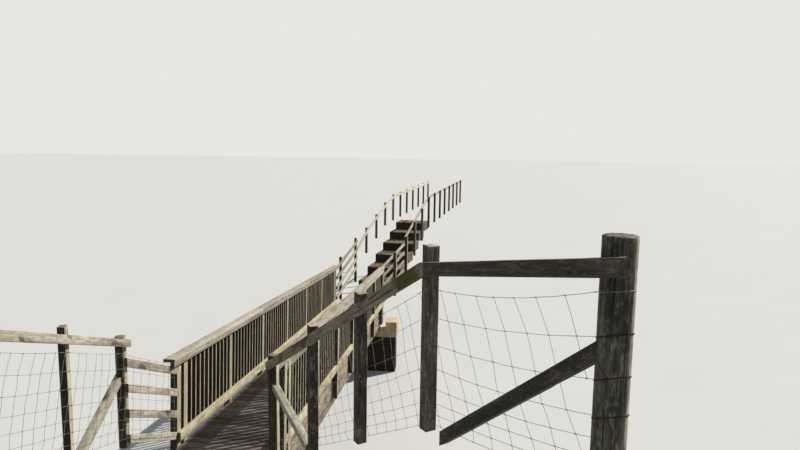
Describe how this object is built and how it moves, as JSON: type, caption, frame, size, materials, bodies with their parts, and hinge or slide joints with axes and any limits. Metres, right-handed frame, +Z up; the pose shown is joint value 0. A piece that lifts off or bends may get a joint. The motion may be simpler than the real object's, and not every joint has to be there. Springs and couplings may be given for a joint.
{
  "type": "timber footbridge with baluster parapets, fence wings and a railed stepped approach",
  "caption": "Timber footbridge across a gully with baluster parapets, post and rail fence wings at its near end and a railed flight of box steps at its far end.",
  "frame": {"origin": "middle of the near abutment wall's flat underside, on the bridge's centre line", "axes": "+Y along the bridge in plan towards the stepped approach, +X to the right of someone walking out over it, +Z up"},
  "size_m": [4.648, 29.8694, 5.6678],
  "materials": {
    "pale_timber": "weathered, sun bleached",
    "grey_timber": "weathered, rough",
    "mossy_timber": "weathered with green algae",
    "deck_timber": "worn, dirty",
    "beam_timber": "stained, rough",
    "seat_concrete": "rough, stained",
    "wall_concrete": "rough, dark and wet",
    "bearing_pad": "matte",
    "gravel": "packed path gravel",
    "wire": "dull galvanised"
  },
  "bodies": {
    "root": {"near_abutment_wall": "wall_concrete", "near_bank_seat": "seat_concrete", "far_abutment_wall": "wall_concrete", "far_bank_seat": "seat_concrete", "bearing_pads": "bearing_pad", "left_main_beam": "beam_timber", "right_main_beam": "beam_timber", "cross_bearers": "beam_timber", "deck_boards": "deck_timber", "left_parapet_posts": "grey_timber", "left_bottom_rails": "pale_timber", "left_top_rails": "pale_timber", "left_balusters": "grey_timber", "left_cap": "pale_timber", "right_parapet_posts": "grey_timber", "right_bottom_rails": "pale_timber", "right_top_rails": "pale_timber", "right_balusters": "grey_timber", "right_cap": "pale_timber", "near_panel_rails": "grey_timber", "left_strainer_post": "mossy_timber", "left_fence_posts": "mossy_timber", "left_fence_rail": "grey_timber", "left_fence_strut": "grey_timber", "left_netting": "wire", "newel_post": "grey_timber", "newel_brace": "grey_timber", "right_fence_posts": "mossy_timber", "right_strainer_post": "mossy_timber", "sloping_rail": "mossy_timber", "strainer_rail": "mossy_timber", "strainer_brace": "mossy_timber", "right_netting": "wire", "far_panel_posts": "grey_timber", "far_left_panel_rails": "grey_timber", "far_right_panel_rails": "grey_timber", "left_handrail_posts": "grey_timber", "left_handrail": "pale_timber", "right_handrail_posts": "grey_timber", "right_handrail": "pale_timber", "landing": "gravel", "step_risers": "grey_timber", "step_side_boards": "grey_timber", "step_infill": "gravel"}
  },
  "joints": []
}
